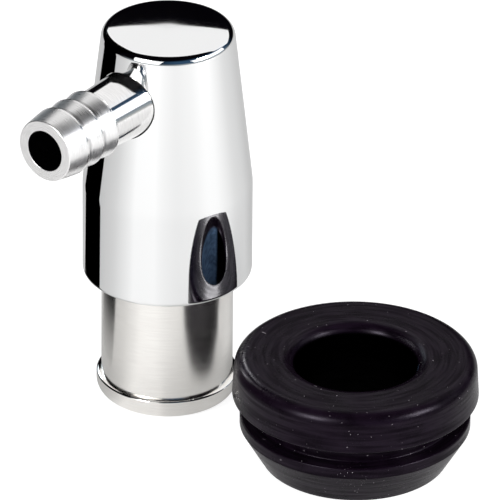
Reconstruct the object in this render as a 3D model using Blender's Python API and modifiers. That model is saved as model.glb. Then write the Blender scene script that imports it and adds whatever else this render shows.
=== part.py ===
"""Crankcase ventilation valve with its mounting grommet.

A polished aluminium head carries a hose barb in its side. The satin shank below it screws into the head
and holds the metering parts: an inlet seat under a circlip, a sprung plunger and a metering orifice.
The rubber grommet that seals the shank in a rocker cover stands beside the valve.

Metres, +Z up. The valve stands on the rim of its shank. The barb points along -Y, the grommet stands
towards +X, and the origin is the middle of the set's footprint.
"""

import math

import bmesh
import bpy

MM = 0.001

# Clearances
SEAT_GAP = 0.3 * MM
BARB_JOINT_GAP = 0.25 * MM
STOP_GAP = 0.2 * MM
BORE_GAP = 0.6 * MM

# Shank: the tube below the head, with a collar at its lower end
SHANK_RADIUS = 10.28 * MM
SHANK_LENGTH = 21.4 * MM
COLLAR_RADIUS = 11.04 * MM
COLLAR_HEIGHT = 3.6 * MM
COLLAR_SHOULDER_HEIGHT = 0.36 * MM
COLLAR_RIM_ROUNDING = 2.2 * MM
MOUTH_WALL = 2.68 * MM
MOUTH_CHAMFER = 0.4 * MM
MOUTH_LIP_HEIGHT = 2.2 * MM
SPIGOT_STEP = 1.38 * MM
SPIGOT_WALL = 1.2 * MM
SPIGOT_CHAMFER = 0.5 * MM
REGISTER_DEPTH = 1.0 * MM
SPIGOT_LENGTH = 8.3 * MM

# Head: cylinder below, cone above, closed flat top
HEAD_RADIUS = 13.2 * MM
HEAD_TOP_RADIUS = 10.19 * MM
HEAD_CYLINDER_HEIGHT = 15.7 * MM
HEAD_CONE_HEIGHT = 26.6 * MM
HEAD_TOP_ROUNDING = 1.3 * MM
HEAD_FOOT_ROUNDING = 0.8 * MM
HEAD_TOP_THICKNESS = 3.8 * MM
GALLERY_RADIUS = 5.0 * MM
DRILL_POINT_ANGLE = 118.0

# Hose barb: lengths run along its own axis
BARB_BELOW_TOP = 9.28 * MM
BARB_REACH = 29.9 * MM
BARB_BORE_RADIUS = 3.25 * MM
BARB_SPIGOT_WALL = 0.85 * MM
BARB_SPIGOT_LENGTH = 2.9 * MM
NECK_RADIUS = 5.2 * MM
NECK_TAPER = 0.05 * MM
BARB_TIP_RADIUS = 4.95 * MM
BARB_TIP_ROUNDING = 0.2 * MM
BARB_BORE_CHAMFER = 0.3 * MM
BARB_RING_COUNT = 3
BARB_FIRST_RING = 4.2 * MM
BARB_RING_PITCH = 3.5 * MM
BARB_RING_BULGE = 0.03 * MM
BARB_CREST_RADIUS = 5.5 * MM
BARB_ROOT_RADIUS = 4.8 * MM

# Metering parts
ORIFICE_THICKNESS = 1.8 * MM
ORIFICE_THROAT_RADIUS = 2.9 * MM
ORIFICE_FLARE_RADIUS = 4.3 * MM
ORIFICE_FLARE_DEPTH = 1.1 * MM
SEAT_THICKNESS = 1.8 * MM
SEAT_HOLE_RADIUS = 3.5 * MM
SEAT_LIP_HEIGHT = 0.6 * MM
SEAT_LIP_WIDTH = 0.9 * MM
SEAT_CHAMFER = 0.5 * MM
PLUNGER_TRAVEL = 4.5 * MM
PLUNGER_FLANGE_THICKNESS = 1.8 * MM
PLUNGER_NOSE_GAP = 0.4 * MM
PLUNGER_TIP_RADIUS = 1.4 * MM
PLUNGER_NOSE_LAND = 1.0 * MM
PLUNGER_TIP_OVERLAP = 0.8 * MM
PLUNGER_NOTCH_RADIUS = 1.3 * MM
PLUNGER_NOTCH_COUNT = 4
PLUNGER_EDGE = 0.25 * MM
SPRING_WIRE_RADIUS = 0.35 * MM
SPRING_FLANGE_EDGE = 0.45 * MM
SPRING_STEM_GAP = 0.55 * MM
SPRING_ACTIVE_TURNS = 6
SPRING_DEAD_COIL_GAP = 0.1 * MM

# Circlip in the mouth of the shank
CIRCLIP_THICKNESS = 1.0 * MM
CIRCLIP_GROOVE_DEPTH = 0.9 * MM
CIRCLIP_WIDTH = 1.3 * MM
CIRCLIP_LUG_WIDTH = 2.6 * MM
CIRCLIP_LUG_HOLE_RADIUS = 0.6 * MM
CIRCLIP_HALF_GAP = 14.0
CIRCLIP_LUG_ANGLE = 22.0
CIRCLIP_BLEND_ANGLE = 5.0

# Rubber sealing rings
SHANK_SEAL_SECTION = 1.5 * MM
SHANK_SEAL_LAND = 1.2 * MM
BARB_SEAL_SECTION = 1.0 * MM

# Grommet
GROMMET_HEIGHT = 17.3 * MM
GROMMET_SQUEEZE = 0.755 * MM
GROMMET_WALL = 9.525 * MM
GROMMET_FLANGE_DRAFT = 0.25 * MM
GROMMET_TOP_ROUNDING = 2.06 * MM
GROMMET_FLANGE_HEIGHT = 6.33 * MM
GROMMET_GROOVE_DEPTH = 3.55 * MM
GROMMET_GROOVE_HEIGHT = 3.47 * MM
GROMMET_FOOT_STEP = 1.2 * MM
GROMMET_FOOT_HEIGHT = 1.7 * MM
GROMMET_FOOT_TAPER = 3.2 * MM
GROMMET_BASE_ROUNDING = 0.4 * MM
GROMMET_LIP_ROUNDING = 2.05 * MM
GROMMET_STANDING_GAP = 3.4 * MM
GROMMET_BEARING = 3.33

# Sides of the turned pieces
LARGE_SIDES = 56
MEDIUM_SIDES = 40
SMALL_SIDES = 28
ARC_STEPS = 4
MERGE = 0.00001
SHARP_ANGLE = 30.0
CUTTER_MARGIN = 1.0 * MM

# Heights on the valve's axis, from the rim upwards
CIRCLIP_BOTTOM = MOUTH_LIP_HEIGHT + SEAT_GAP
CIRCLIP_GROOVE_TOP = CIRCLIP_BOTTOM + CIRCLIP_THICKNESS + SEAT_GAP
SEAT_BOTTOM = CIRCLIP_GROOVE_TOP
SEAT_TOP = SEAT_BOTTOM + SEAT_THICKNESS
SEAT_SHOULDER = SEAT_TOP + SEAT_GAP
PLUNGER_BOTTOM = SEAT_TOP + SEAT_LIP_HEIGHT + SEAT_GAP
PLUNGER_FLANGE_TOP = PLUNGER_BOTTOM + PLUNGER_FLANGE_THICKNESS
SHANK_SHOULDER = SHANK_LENGTH + REGISTER_DEPTH - SEAT_GAP
SPIGOT_TOP = SHANK_SHOULDER + SPIGOT_LENGTH
ORIFICE_BOTTOM = SPIGOT_TOP + SEAT_GAP
ORIFICE_TOP = ORIFICE_BOTTOM + ORIFICE_THICKNESS
HEAD_SHOULDER = ORIFICE_TOP + SEAT_GAP
PLUNGER_STOP = ORIFICE_BOTTOM - STOP_GAP - PLUNGER_TRAVEL
PLUNGER_TIP = ORIFICE_BOTTOM + PLUNGER_TIP_OVERLAP
SPRING_BOTTOM = PLUNGER_FLANGE_TOP + SEAT_GAP
SPRING_TOP = ORIFICE_BOTTOM - SEAT_GAP
SHANK_SEAL_HEIGHT = SHANK_SHOULDER + SHANK_SEAL_LAND + SEAT_GAP + SHANK_SEAL_SECTION / 2
HEAD_KINK = SHANK_LENGTH + HEAD_CYLINDER_HEIGHT
HEAD_TOP = HEAD_KINK + HEAD_CONE_HEIGHT
BARB_HEIGHT = HEAD_TOP - BARB_BELOW_TOP

# Radii that follow from the pieces they meet
SPIGOT_RADIUS = SHANK_RADIUS - SPIGOT_STEP
SHANK_SEAL_RADIUS = SPIGOT_RADIUS - SHANK_SEAL_SECTION / 2
SHANK_GROOVE_RADIUS = SPIGOT_RADIUS - SHANK_SEAL_SECTION - SEAT_GAP
SHANK_BORE_RADIUS = SHANK_GROOVE_RADIUS - SPIGOT_WALL
HEAD_BORE_RADIUS = SPIGOT_RADIUS + SEAT_GAP
REGISTER_RADIUS = SHANK_RADIUS + SEAT_GAP
MOUTH_RADIUS = SHANK_RADIUS - MOUTH_WALL
CIRCLIP_GROOVE_RADIUS = MOUTH_RADIUS + CIRCLIP_GROOVE_DEPTH
CIRCLIP_RADIUS = CIRCLIP_GROOVE_RADIUS - SEAT_GAP
SEAT_RADIUS = MOUTH_RADIUS - SEAT_GAP
PLUNGER_FLANGE_RADIUS = SHANK_BORE_RADIUS - BORE_GAP
SPRING_RADIUS = PLUNGER_FLANGE_RADIUS - SPRING_FLANGE_EDGE - SPRING_WIRE_RADIUS
PLUNGER_STEM_RADIUS = SPRING_RADIUS - SPRING_WIRE_RADIUS - SPRING_STEM_GAP
PLUNGER_NOSE_RADIUS = ORIFICE_THROAT_RADIUS - PLUNGER_NOSE_GAP
GROMMET_BORE_RADIUS = SHANK_RADIUS - GROMMET_SQUEEZE
GROMMET_RADIUS = GROMMET_BORE_RADIUS + GROMMET_WALL
GROMMET_TOP_RADIUS = GROMMET_RADIUS - GROMMET_FLANGE_DRAFT
GROMMET_GROOVE_RADIUS = GROMMET_RADIUS - GROMMET_GROOVE_DEPTH
GROMMET_FOOT_RADIUS = GROMMET_RADIUS - GROMMET_FOOT_STEP
GROMMET_BASE_RADIUS = GROMMET_FOOT_RADIUS - GROMMET_FOOT_TAPER

# The barb's joint with the head: radii, then distances from the valve's axis
BARB_POCKET_RADIUS = NECK_RADIUS + BARB_JOINT_GAP
BARB_SPIGOT_RADIUS = BARB_POCKET_RADIUS - BARB_SEAL_SECTION - 2 * SEAT_GAP
BARB_SPIGOT_BORE_RADIUS = BARB_SPIGOT_RADIUS - BARB_SPIGOT_WALL
BARB_HOLE_RADIUS = BARB_SPIGOT_RADIUS + BARB_JOINT_GAP
BARB_POCKET_FLOOR = GALLERY_RADIUS + BARB_SPIGOT_LENGTH
BARB_SHOULDER = BARB_POCKET_FLOOR + BARB_SEAL_SECTION + 2 * SEAT_GAP

# Places on the ground: the origin is the middle of the set's footprint
GROMMET_DISTANCE = HEAD_RADIUS + GROMMET_STANDING_GAP + GROMMET_RADIUS
GROMMET_OFFSET_X = GROMMET_DISTANCE * math.cos(math.radians(GROMMET_BEARING))
GROMMET_OFFSET_Y = GROMMET_DISTANCE * math.sin(math.radians(GROMMET_BEARING))
VALVE_X = (HEAD_RADIUS - GROMMET_OFFSET_X - GROMMET_RADIUS) / 2
VALVE_Y = (BARB_REACH - max(HEAD_RADIUS, GROMMET_OFFSET_Y + GROMMET_RADIUS)) / 2

PARTS = bpy.data.collections.new("crankcase_ventilation_valve")
CUTTERS = bpy.data.collections.new("cutters")


def clear_scene():
    for obj in list(bpy.data.objects):
        bpy.data.objects.remove(obj, do_unlink=True)
    for collection in (PARTS, CUTTERS):
        bpy.context.scene.collection.children.link(collection)


def make_material(name, colour, roughness, metallic):
    material = bpy.data.materials.new(name)
    material.use_nodes = True
    shader = material.node_tree.nodes["Principled BSDF"]
    shader.inputs["Base Color"].default_value = (*colour, 1.0)
    shader.inputs["Roughness"].default_value = roughness
    shader.inputs["Metallic"].default_value = metallic
    return material


def make_empty(name, location, parent=None):
    empty = bpy.data.objects.new(name, None)
    empty.location = location
    empty.parent = parent
    PARTS.objects.link(empty)
    return empty


def arc(centre_r, centre_z, radius, start, end, count=ARC_STEPS, radius_z=None):
    """Points of a round stretch in the profile plane. The angles run from outwards towards up."""
    points = []
    for step in range(count + 1):
        angle = math.radians(start + (end - start) * step / count)
        height = radius if radius_z is None else radius_z
        points.append((centre_r + radius * math.cos(angle), centre_z + height * math.sin(angle)))
    return points


def turned(name, profile, sides, closed=True):
    """A solid of revolution about Z. The profile runs down its outer side and back up its bore."""
    mesh = bpy.data.meshes.new(name)
    shape = bmesh.new()
    corners = [shape.verts.new((radius, 0.0, height)) for radius, height in profile]
    for upper, lower in zip(corners, corners[1:]):
        shape.edges.new((upper, lower))
    if closed:
        shape.edges.new((corners[-1], corners[0]))
    shape.to_mesh(mesh)
    shape.free()
    obj = bpy.data.objects.new(name, mesh)
    turn = obj.modifiers.new("Turn", "SCREW")
    turn.axis = "Z"
    turn.steps = sides
    turn.render_steps = sides
    turn.use_merge_vertices = True
    turn.merge_threshold = MERGE
    return obj


def sealing_ring(name, radius, section, sides, section_sides):
    bpy.ops.mesh.primitive_torus_add(
        major_radius=radius,
        minor_radius=section / 2,
        major_segments=sides,
        minor_segments=section_sides,
    )
    obj = bpy.context.object
    obj.name = name
    for collection in list(obj.users_collection):
        collection.objects.unlink(obj)
    return obj


def add_part(obj, parent, material, location=(0.0, 0.0, 0.0), rotation=(0.0, 0.0, 0.0)):
    PARTS.objects.link(obj)
    obj.parent = parent
    obj.location = location
    obj.rotation_euler = rotation
    obj.data.materials.clear()
    obj.data.materials.append(material)
    return obj


def add_cutter(obj, parent, location=(0.0, 0.0, 0.0), rotation=(0.0, 0.0, 0.0)):
    CUTTERS.objects.link(obj)
    obj.parent = parent
    obj.location = location
    obj.rotation_euler = rotation
    obj.hide_render = True
    obj.display_type = "WIRE"
    return obj


def boolean(obj, cutter, operation="DIFFERENCE"):
    cut = obj.modifiers.new("Cut", "BOOLEAN")
    cut.solver = "EXACT"
    cut.operation = operation
    cut.object = cutter


def curve_to_solid(curve_object):
    """A mesh object with the curve's shape, its caps welded on. It takes the curve's place."""
    bpy.context.view_layer.update()
    graph = bpy.context.evaluated_depsgraph_get()
    mesh = bpy.data.meshes.new_from_object(curve_object.evaluated_get(graph))
    shape = bmesh.new()
    shape.from_mesh(mesh)
    bmesh.ops.remove_doubles(shape, verts=shape.verts, dist=MERGE)
    bmesh.ops.recalc_face_normals(shape, faces=shape.faces)
    shape.to_mesh(mesh)
    shape.free()
    name = curve_object.name
    placed = curve_object.matrix_world.copy()
    bpy.data.objects.remove(curve_object, do_unlink=True)
    obj = bpy.data.objects.new(name, mesh)
    obj.matrix_world = placed
    return obj


def shade(obj):
    """The evaluated shape becomes the object's own mesh, smooth with its corners kept sharp."""
    bpy.context.view_layer.update()
    graph = bpy.context.evaluated_depsgraph_get()
    mesh = bpy.data.meshes.new_from_object(obj.evaluated_get(graph))
    obj.modifiers.clear()
    obj.data = mesh
    mesh.shade_smooth()
    mesh.set_sharp_from_angle(angle=math.radians(SHARP_ANGLE))


def head_profile():
    """From the top's centre down the cone and cylinder, then up the bore to the drill point."""
    slope = math.atan2(HEAD_RADIUS - HEAD_TOP_RADIUS, HEAD_CONE_HEIGHT)
    edge_centre = HEAD_TOP_RADIUS - HEAD_TOP_ROUNDING * (1 - math.sin(slope)) / math.cos(slope)
    drill_point = GALLERY_RADIUS / math.tan(math.radians(DRILL_POINT_ANGLE / 2))
    gallery_top = HEAD_TOP - HEAD_TOP_THICKNESS
    foot = SHANK_LENGTH + HEAD_FOOT_ROUNDING
    return (
        [(0.0, HEAD_TOP)]
        + arc(edge_centre, HEAD_TOP - HEAD_TOP_ROUNDING, HEAD_TOP_ROUNDING, 90, math.degrees(slope))
        + [(HEAD_RADIUS, HEAD_KINK)]
        + arc(HEAD_RADIUS - HEAD_FOOT_ROUNDING, foot, HEAD_FOOT_ROUNDING, 0, -90)
        + [
            (REGISTER_RADIUS, SHANK_LENGTH),
            (REGISTER_RADIUS, SHANK_LENGTH + REGISTER_DEPTH),
            (HEAD_BORE_RADIUS, SHANK_LENGTH + REGISTER_DEPTH),
            (HEAD_BORE_RADIUS, HEAD_SHOULDER),
            (GALLERY_RADIUS, HEAD_SHOULDER),
            (GALLERY_RADIUS, gallery_top - drill_point),
            (0.0, gallery_top),
        ]
    )


def barb_hole_profile():
    """The stepped hole that the barb goes into: a pocket for its neck and a hole for its spigot."""
    outer_end = HEAD_RADIUS + CUTTER_MARGIN
    return [
        (0.0, outer_end),
        (BARB_POCKET_RADIUS, outer_end),
        (BARB_POCKET_RADIUS, BARB_POCKET_FLOOR),
        (BARB_HOLE_RADIUS, BARB_POCKET_FLOOR),
        (BARB_HOLE_RADIUS, 0.0),
        (0.0, 0.0),
    ]


def build_head(valve_axis, barb_axis, material):
    head = add_part(turned("valve_head", head_profile(), LARGE_SIDES, closed=False), valve_axis, material)
    hole = turned("barb_hole", barb_hole_profile(), MEDIUM_SIDES, closed=False)
    boolean(head, add_cutter(hole, barb_axis))
    shade(head)


def shank_profile():
    """Spigot, seal groove, shoulder and collar on the outside, stepped bore and circlip groove inside."""
    groove_half = SHANK_SEAL_SECTION / 2 + SEAT_GAP
    shoulder = arc(
        SHANK_RADIUS,
        COLLAR_HEIGHT - COLLAR_SHOULDER_HEIGHT,
        COLLAR_RADIUS - SHANK_RADIUS,
        90,
        0,
        radius_z=COLLAR_SHOULDER_HEIGHT,
    )
    rim = arc(COLLAR_RADIUS - COLLAR_RIM_ROUNDING, COLLAR_RIM_ROUNDING, COLLAR_RIM_ROUNDING, 0, -90)
    return (
        [
            (SPIGOT_RADIUS - SPIGOT_CHAMFER, SPIGOT_TOP),
            (SPIGOT_RADIUS, SPIGOT_TOP - SPIGOT_CHAMFER),
            (SPIGOT_RADIUS, SHANK_SEAL_HEIGHT + groove_half),
            (SHANK_GROOVE_RADIUS, SHANK_SEAL_HEIGHT + groove_half),
            (SHANK_GROOVE_RADIUS, SHANK_SEAL_HEIGHT - groove_half),
            (SPIGOT_RADIUS, SHANK_SEAL_HEIGHT - groove_half),
            (SPIGOT_RADIUS, SHANK_SHOULDER),
            (SHANK_RADIUS, SHANK_SHOULDER),
        ]
        + shoulder
        + rim
        + [
            (MOUTH_RADIUS + MOUTH_CHAMFER, 0.0),
            (MOUTH_RADIUS, MOUTH_CHAMFER),
            (MOUTH_RADIUS, MOUTH_LIP_HEIGHT),
            (CIRCLIP_GROOVE_RADIUS, MOUTH_LIP_HEIGHT),
            (CIRCLIP_GROOVE_RADIUS, CIRCLIP_GROOVE_TOP),
            (MOUTH_RADIUS, CIRCLIP_GROOVE_TOP),
            (MOUTH_RADIUS, SEAT_SHOULDER),
            (SHANK_BORE_RADIUS, SEAT_SHOULDER),
            (SHANK_BORE_RADIUS, SPIGOT_TOP),
        ]
    )


def build_shank(valve_axis, material):
    shade(add_part(turned("inlet_shank", shank_profile(), LARGE_SIDES), valve_axis, material))


def ring_slope(root_radius, root, crest):
    """Points of one barbed ring, from its root to its crest, bulging a little outwards."""
    points = []
    for step in range(ARC_STEPS + 1):
        share = step / ARC_STEPS
        bulge = 4 * BARB_RING_BULGE * share * (1 - share)
        radius = root_radius + (BARB_CREST_RADIUS - root_radius) * share + bulge
        points.append((radius, root + (crest - root) * share))
    return points


def barb_profile():
    """Along the barb's own axis, tip uppermost: end face, barbed rings, neck, spigot, then the bore."""
    root_radius = BARB_TIP_RADIUS
    root = BARB_REACH - BARB_TIP_ROUNDING
    points = [
        (BARB_BORE_RADIUS + BARB_BORE_CHAMFER, BARB_REACH),
        (BARB_TIP_RADIUS - BARB_TIP_ROUNDING, BARB_REACH),
    ]
    for ring in range(BARB_RING_COUNT):
        crest = BARB_REACH - BARB_FIRST_RING - ring * BARB_RING_PITCH
        points += ring_slope(root_radius, root, crest)
        root_radius = BARB_ROOT_RADIUS
        root = crest
    points += [
        (NECK_RADIUS - NECK_TAPER, root),
        (NECK_RADIUS, BARB_SHOULDER),
        (BARB_SPIGOT_RADIUS, BARB_SHOULDER),
        (BARB_SPIGOT_RADIUS, GALLERY_RADIUS),
        (BARB_SPIGOT_BORE_RADIUS, GALLERY_RADIUS),
        (BARB_SPIGOT_BORE_RADIUS, BARB_SHOULDER),
        (BARB_BORE_RADIUS, BARB_SHOULDER + BARB_BORE_RADIUS - BARB_SPIGOT_BORE_RADIUS),
        (BARB_BORE_RADIUS, BARB_REACH - BARB_BORE_CHAMFER),
    ]
    return points


def build_barb(barb_axis, material):
    shade(add_part(turned("hose_barb", barb_profile(), MEDIUM_SIDES), barb_axis, material))


def orifice_profile():
    """A flat ring whose throat opens out into a flare on its upper side."""
    outer = SPIGOT_RADIUS - SPIGOT_CHAMFER / 2
    return [
        (ORIFICE_FLARE_RADIUS, ORIFICE_TOP),
        (outer, ORIFICE_TOP),
        (outer, ORIFICE_BOTTOM),
        (ORIFICE_THROAT_RADIUS, ORIFICE_BOTTOM),
        (ORIFICE_THROAT_RADIUS, ORIFICE_TOP - ORIFICE_FLARE_DEPTH),
    ]


def seat_profile():
    """A flat ring with a raised lip round its hole."""
    lip_top = SEAT_TOP + SEAT_LIP_HEIGHT
    lip_foot = SEAT_HOLE_RADIUS + SEAT_LIP_WIDTH
    return [
        (SEAT_HOLE_RADIUS, lip_top),
        (lip_foot, lip_top),
        (lip_foot, SEAT_TOP),
        (SEAT_RADIUS, SEAT_TOP),
        (SEAT_RADIUS, SEAT_BOTTOM),
        (SEAT_HOLE_RADIUS + SEAT_CHAMFER, SEAT_BOTTOM),
        (SEAT_HOLE_RADIUS, SEAT_BOTTOM + SEAT_CHAMFER),
    ]


def plunger_profile():
    """Flange, stem with a stop shoulder, land and tapered nose. Heights from the plunger's own foot."""
    tip = PLUNGER_TIP - PLUNGER_BOTTOM
    stop = PLUNGER_STOP - PLUNGER_BOTTOM
    return [
        (0.0, tip),
        (PLUNGER_TIP_RADIUS - PLUNGER_EDGE, tip),
        (PLUNGER_TIP_RADIUS, tip - PLUNGER_EDGE),
        (PLUNGER_NOSE_RADIUS, stop + PLUNGER_NOSE_LAND),
        (PLUNGER_NOSE_RADIUS, stop),
        (PLUNGER_STEM_RADIUS - PLUNGER_EDGE, stop),
        (PLUNGER_STEM_RADIUS, stop - PLUNGER_EDGE),
        (PLUNGER_STEM_RADIUS, PLUNGER_FLANGE_THICKNESS),
        (PLUNGER_FLANGE_RADIUS - PLUNGER_EDGE, PLUNGER_FLANGE_THICKNESS),
        (PLUNGER_FLANGE_RADIUS, PLUNGER_FLANGE_THICKNESS - PLUNGER_EDGE),
        (PLUNGER_FLANGE_RADIUS, PLUNGER_EDGE),
        (PLUNGER_FLANGE_RADIUS - PLUNGER_EDGE, 0.0),
        (0.0, 0.0),
    ]


def build_plunger(plunger_slide, material):
    """The gas passes through the notches in the rim of the flange."""
    plunger = turned("plunger", plunger_profile(), SMALL_SIDES, closed=False)
    add_part(plunger, plunger_slide, material)
    for notch in range(PLUNGER_NOTCH_COUNT):
        angle = 2 * math.pi * (notch + 0.5) / PLUNGER_NOTCH_COUNT
        height = PLUNGER_FLANGE_THICKNESS + CUTTER_MARGIN
        outline = [
            (0.0, height),
            (PLUNGER_NOTCH_RADIUS, height),
            (PLUNGER_NOTCH_RADIUS, -CUTTER_MARGIN),
            (0.0, -CUTTER_MARGIN),
        ]
        place = (PLUNGER_FLANGE_RADIUS * math.cos(angle), PLUNGER_FLANGE_RADIUS * math.sin(angle), 0.0)
        cutter = turned(f"notch_{notch + 1}", outline, SMALL_SIDES // 2, closed=False)
        boolean(plunger, add_cutter(cutter, plunger_slide, place))
    shade(plunger)


def spring_height(turn, active_pitch, dead_pitch):
    """Height of the wire's centre after so many turns: a dead coil, the active coils, a dead coil."""
    active = min(max(turn - 1, 0), SPRING_ACTIVE_TURNS)
    return active * active_pitch + (turn - active) * dead_pitch


def build_spring(valve_axis, material):
    """A compression spring whose end coils are closed and ground flat."""
    length = SPRING_TOP - SPRING_BOTTOM
    dead_pitch = 2 * SPRING_WIRE_RADIUS + SPRING_DEAD_COIL_GAP
    active_pitch = (length - 2 * dead_pitch) / SPRING_ACTIVE_TURNS
    points_per_turn = 12
    count = (SPRING_ACTIVE_TURNS + 2) * points_per_turn
    curve = bpy.data.curves.new("plunger_spring", "CURVE")
    curve.dimensions = "3D"
    curve.bevel_depth = SPRING_WIRE_RADIUS
    curve.bevel_resolution = 2
    curve.use_fill_caps = True
    wire = curve.splines.new("POLY")
    wire.points.add(count)
    for index, point in enumerate(wire.points):
        turn = index / points_per_turn
        angle = 2 * math.pi * turn
        height = SPRING_BOTTOM + spring_height(turn, active_pitch, dead_pitch)
        point.co = (SPRING_RADIUS * math.cos(angle), SPRING_RADIUS * math.sin(angle), height, 1.0)
    coil = bpy.data.objects.new("plunger_spring", curve)
    bpy.context.scene.collection.objects.link(coil)
    spring = add_part(curve_to_solid(coil), valve_axis, material)
    outer = SPRING_RADIUS + SPRING_WIRE_RADIUS + CUTTER_MARGIN
    blank = [(0.0, SPRING_TOP), (outer, SPRING_TOP), (outer, SPRING_BOTTOM), (0.0, SPRING_BOTTOM)]
    ground = turned("ground_ends", blank, SMALL_SIDES, closed=False)
    boolean(spring, add_cutter(ground, valve_axis), "INTERSECT")
    shade(spring)


def circlip_outlines():
    """The circlip's outline and its two lug holes, with the gap towards +X."""
    inner = CIRCLIP_RADIUS - CIRCLIP_WIDTH
    lug_inner = CIRCLIP_RADIUS - CIRCLIP_LUG_WIDTH
    lug_end = CIRCLIP_HALF_GAP + CIRCLIP_LUG_ANGLE
    blend_end = lug_end + CIRCLIP_BLEND_ANGLE
    outline = (
        arc(0.0, 0.0, CIRCLIP_RADIUS, CIRCLIP_HALF_GAP, 360 - CIRCLIP_HALF_GAP, 32)
        + arc(0.0, 0.0, lug_inner, 360 - CIRCLIP_HALF_GAP, 360 - lug_end, 2)
        + arc(0.0, 0.0, inner, 360 - blend_end, blend_end, 26)
        + arc(0.0, 0.0, lug_inner, lug_end, CIRCLIP_HALF_GAP, 2)
    )
    hole_radius = (CIRCLIP_RADIUS + lug_inner) / 2
    holes = []
    for side in (1, -1):
        angle = side * math.radians(CIRCLIP_HALF_GAP + CIRCLIP_LUG_ANGLE / 2)
        centre = (hole_radius * math.cos(angle), hole_radius * math.sin(angle))
        holes.append(arc(*centre, CIRCLIP_LUG_HOLE_RADIUS, 0, 330, 11))
    return [outline] + holes


def build_circlip(valve_axis, material):
    curve = bpy.data.curves.new("seat_retaining_ring", "CURVE")
    curve.dimensions = "2D"
    curve.fill_mode = "BOTH"
    curve.extrude = CIRCLIP_THICKNESS / 2
    for outline in circlip_outlines():
        spline = curve.splines.new("POLY")
        spline.points.add(len(outline) - 1)
        spline.use_cyclic_u = True
        for point, (x, y) in zip(spline.points, outline):
            point.co = (x, y, 0.0, 1.0)
    flat = bpy.data.objects.new("seat_retaining_ring", curve)
    bpy.context.scene.collection.objects.link(flat)
    place = (0.0, 0.0, CIRCLIP_BOTTOM + CIRCLIP_THICKNESS / 2)
    shade(add_part(curve_to_solid(flat), valve_axis, material, place))


def grommet_profile():
    """Upper flange, groove for the cover's edge, foot that tapers to the base, and the bore's round lip."""
    flange_bottom = GROMMET_HEIGHT - GROMMET_FLANGE_HEIGHT
    groove_bottom = flange_bottom - GROMMET_GROOVE_HEIGHT
    cone_top = groove_bottom - GROMMET_FOOT_HEIGHT
    lip_centre = GROMMET_BORE_RADIUS + GROMMET_LIP_ROUNDING
    top_centre = GROMMET_TOP_RADIUS - GROMMET_TOP_ROUNDING
    base_centre = GROMMET_BASE_RADIUS - GROMMET_BASE_ROUNDING
    return (
        arc(lip_centre, GROMMET_HEIGHT - GROMMET_LIP_ROUNDING, GROMMET_LIP_ROUNDING, 180, 90)
        + arc(top_centre, GROMMET_HEIGHT - GROMMET_TOP_ROUNDING, GROMMET_TOP_ROUNDING, 90, 0)
        + [
            (GROMMET_RADIUS, flange_bottom),
            (GROMMET_GROOVE_RADIUS, flange_bottom),
            (GROMMET_GROOVE_RADIUS, groove_bottom),
            (GROMMET_FOOT_RADIUS, groove_bottom),
            (GROMMET_FOOT_RADIUS, cone_top),
        ]
        + arc(base_centre, GROMMET_BASE_ROUNDING, GROMMET_BASE_ROUNDING, -25, -90, 2)
        + [(GROMMET_BORE_RADIUS, 0.0)]
    )


def build_grommet(grommet_axis, material):
    shade(add_part(turned("grommet", grommet_profile(), LARGE_SIDES), grommet_axis, material))


def build():
    clear_scene()
    polished = make_material("polished_aluminium", (0.91, 0.92, 0.93), 0.04, 1.0)
    machined = make_material("machined_aluminium", (0.83, 0.82, 0.81), 0.28, 1.0)
    brass = make_material("brass", (0.78, 0.6, 0.3), 0.25, 1.0)
    steel = make_material("steel", (0.58, 0.58, 0.6), 0.3, 1.0)
    spring_steel = make_material("spring_steel", (0.45, 0.46, 0.48), 0.35, 1.0)
    seal_rubber = make_material("seal_rubber", (0.02, 0.02, 0.022), 0.5, 0.0)
    grommet_rubber = make_material("grommet_rubber", (0.018, 0.016, 0.018), 0.55, 0.0)

    valve_axis = make_empty("valve_axis", (VALVE_X, VALVE_Y, 0.0))
    barb_axis = make_empty("barb_axis", (0.0, 0.0, BARB_HEIGHT), valve_axis)
    barb_axis.rotation_euler = (math.radians(90), 0.0, 0.0)
    plunger_slide = make_empty("plunger_slide", (0.0, 0.0, PLUNGER_BOTTOM), valve_axis)
    grommet_place = (VALVE_X + GROMMET_OFFSET_X, VALVE_Y + GROMMET_OFFSET_Y, 0.0)
    grommet_axis = make_empty("grommet_axis", grommet_place)

    build_head(valve_axis, barb_axis, polished)
    build_barb(barb_axis, machined)
    build_shank(valve_axis, machined)
    shade(add_part(turned("metering_orifice", orifice_profile(), MEDIUM_SIDES), valve_axis, brass))
    shade(add_part(turned("inlet_seat", seat_profile(), MEDIUM_SIDES), valve_axis, brass))
    build_plunger(plunger_slide, steel)
    build_spring(valve_axis, spring_steel)
    build_circlip(valve_axis, spring_steel)
    shank_seal = sealing_ring("shank_seal", SHANK_SEAL_RADIUS, SHANK_SEAL_SECTION, MEDIUM_SIDES, 10)
    shade(add_part(shank_seal, valve_axis, seal_rubber, (0.0, 0.0, SHANK_SEAL_HEIGHT)))
    barb_seal_radius = BARB_SPIGOT_RADIUS + SEAT_GAP + BARB_SEAL_SECTION / 2
    barb_seal = sealing_ring("barb_seal", barb_seal_radius, BARB_SEAL_SECTION, SMALL_SIDES, 8)
    barb_seal_place = BARB_POCKET_FLOOR + SEAT_GAP + BARB_SEAL_SECTION / 2
    shade(add_part(barb_seal, barb_axis, seal_rubber, (0.0, 0.0, barb_seal_place)))
    build_grommet(grommet_axis, grommet_rubber)


build()
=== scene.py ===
"""Looks of the crankcase ventilation valve and its grommet.

The head, shank, barb, grommet and spring are made again as fine meshes, in the place of their plain solids,
and every piece gets its finish. The studio is a pale floor, a world that the camera sees as white, six soft
lamps and a black flag at the left.
"""

import math

import bmesh
import bpy
from mathutils import Matrix, Vector


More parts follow.
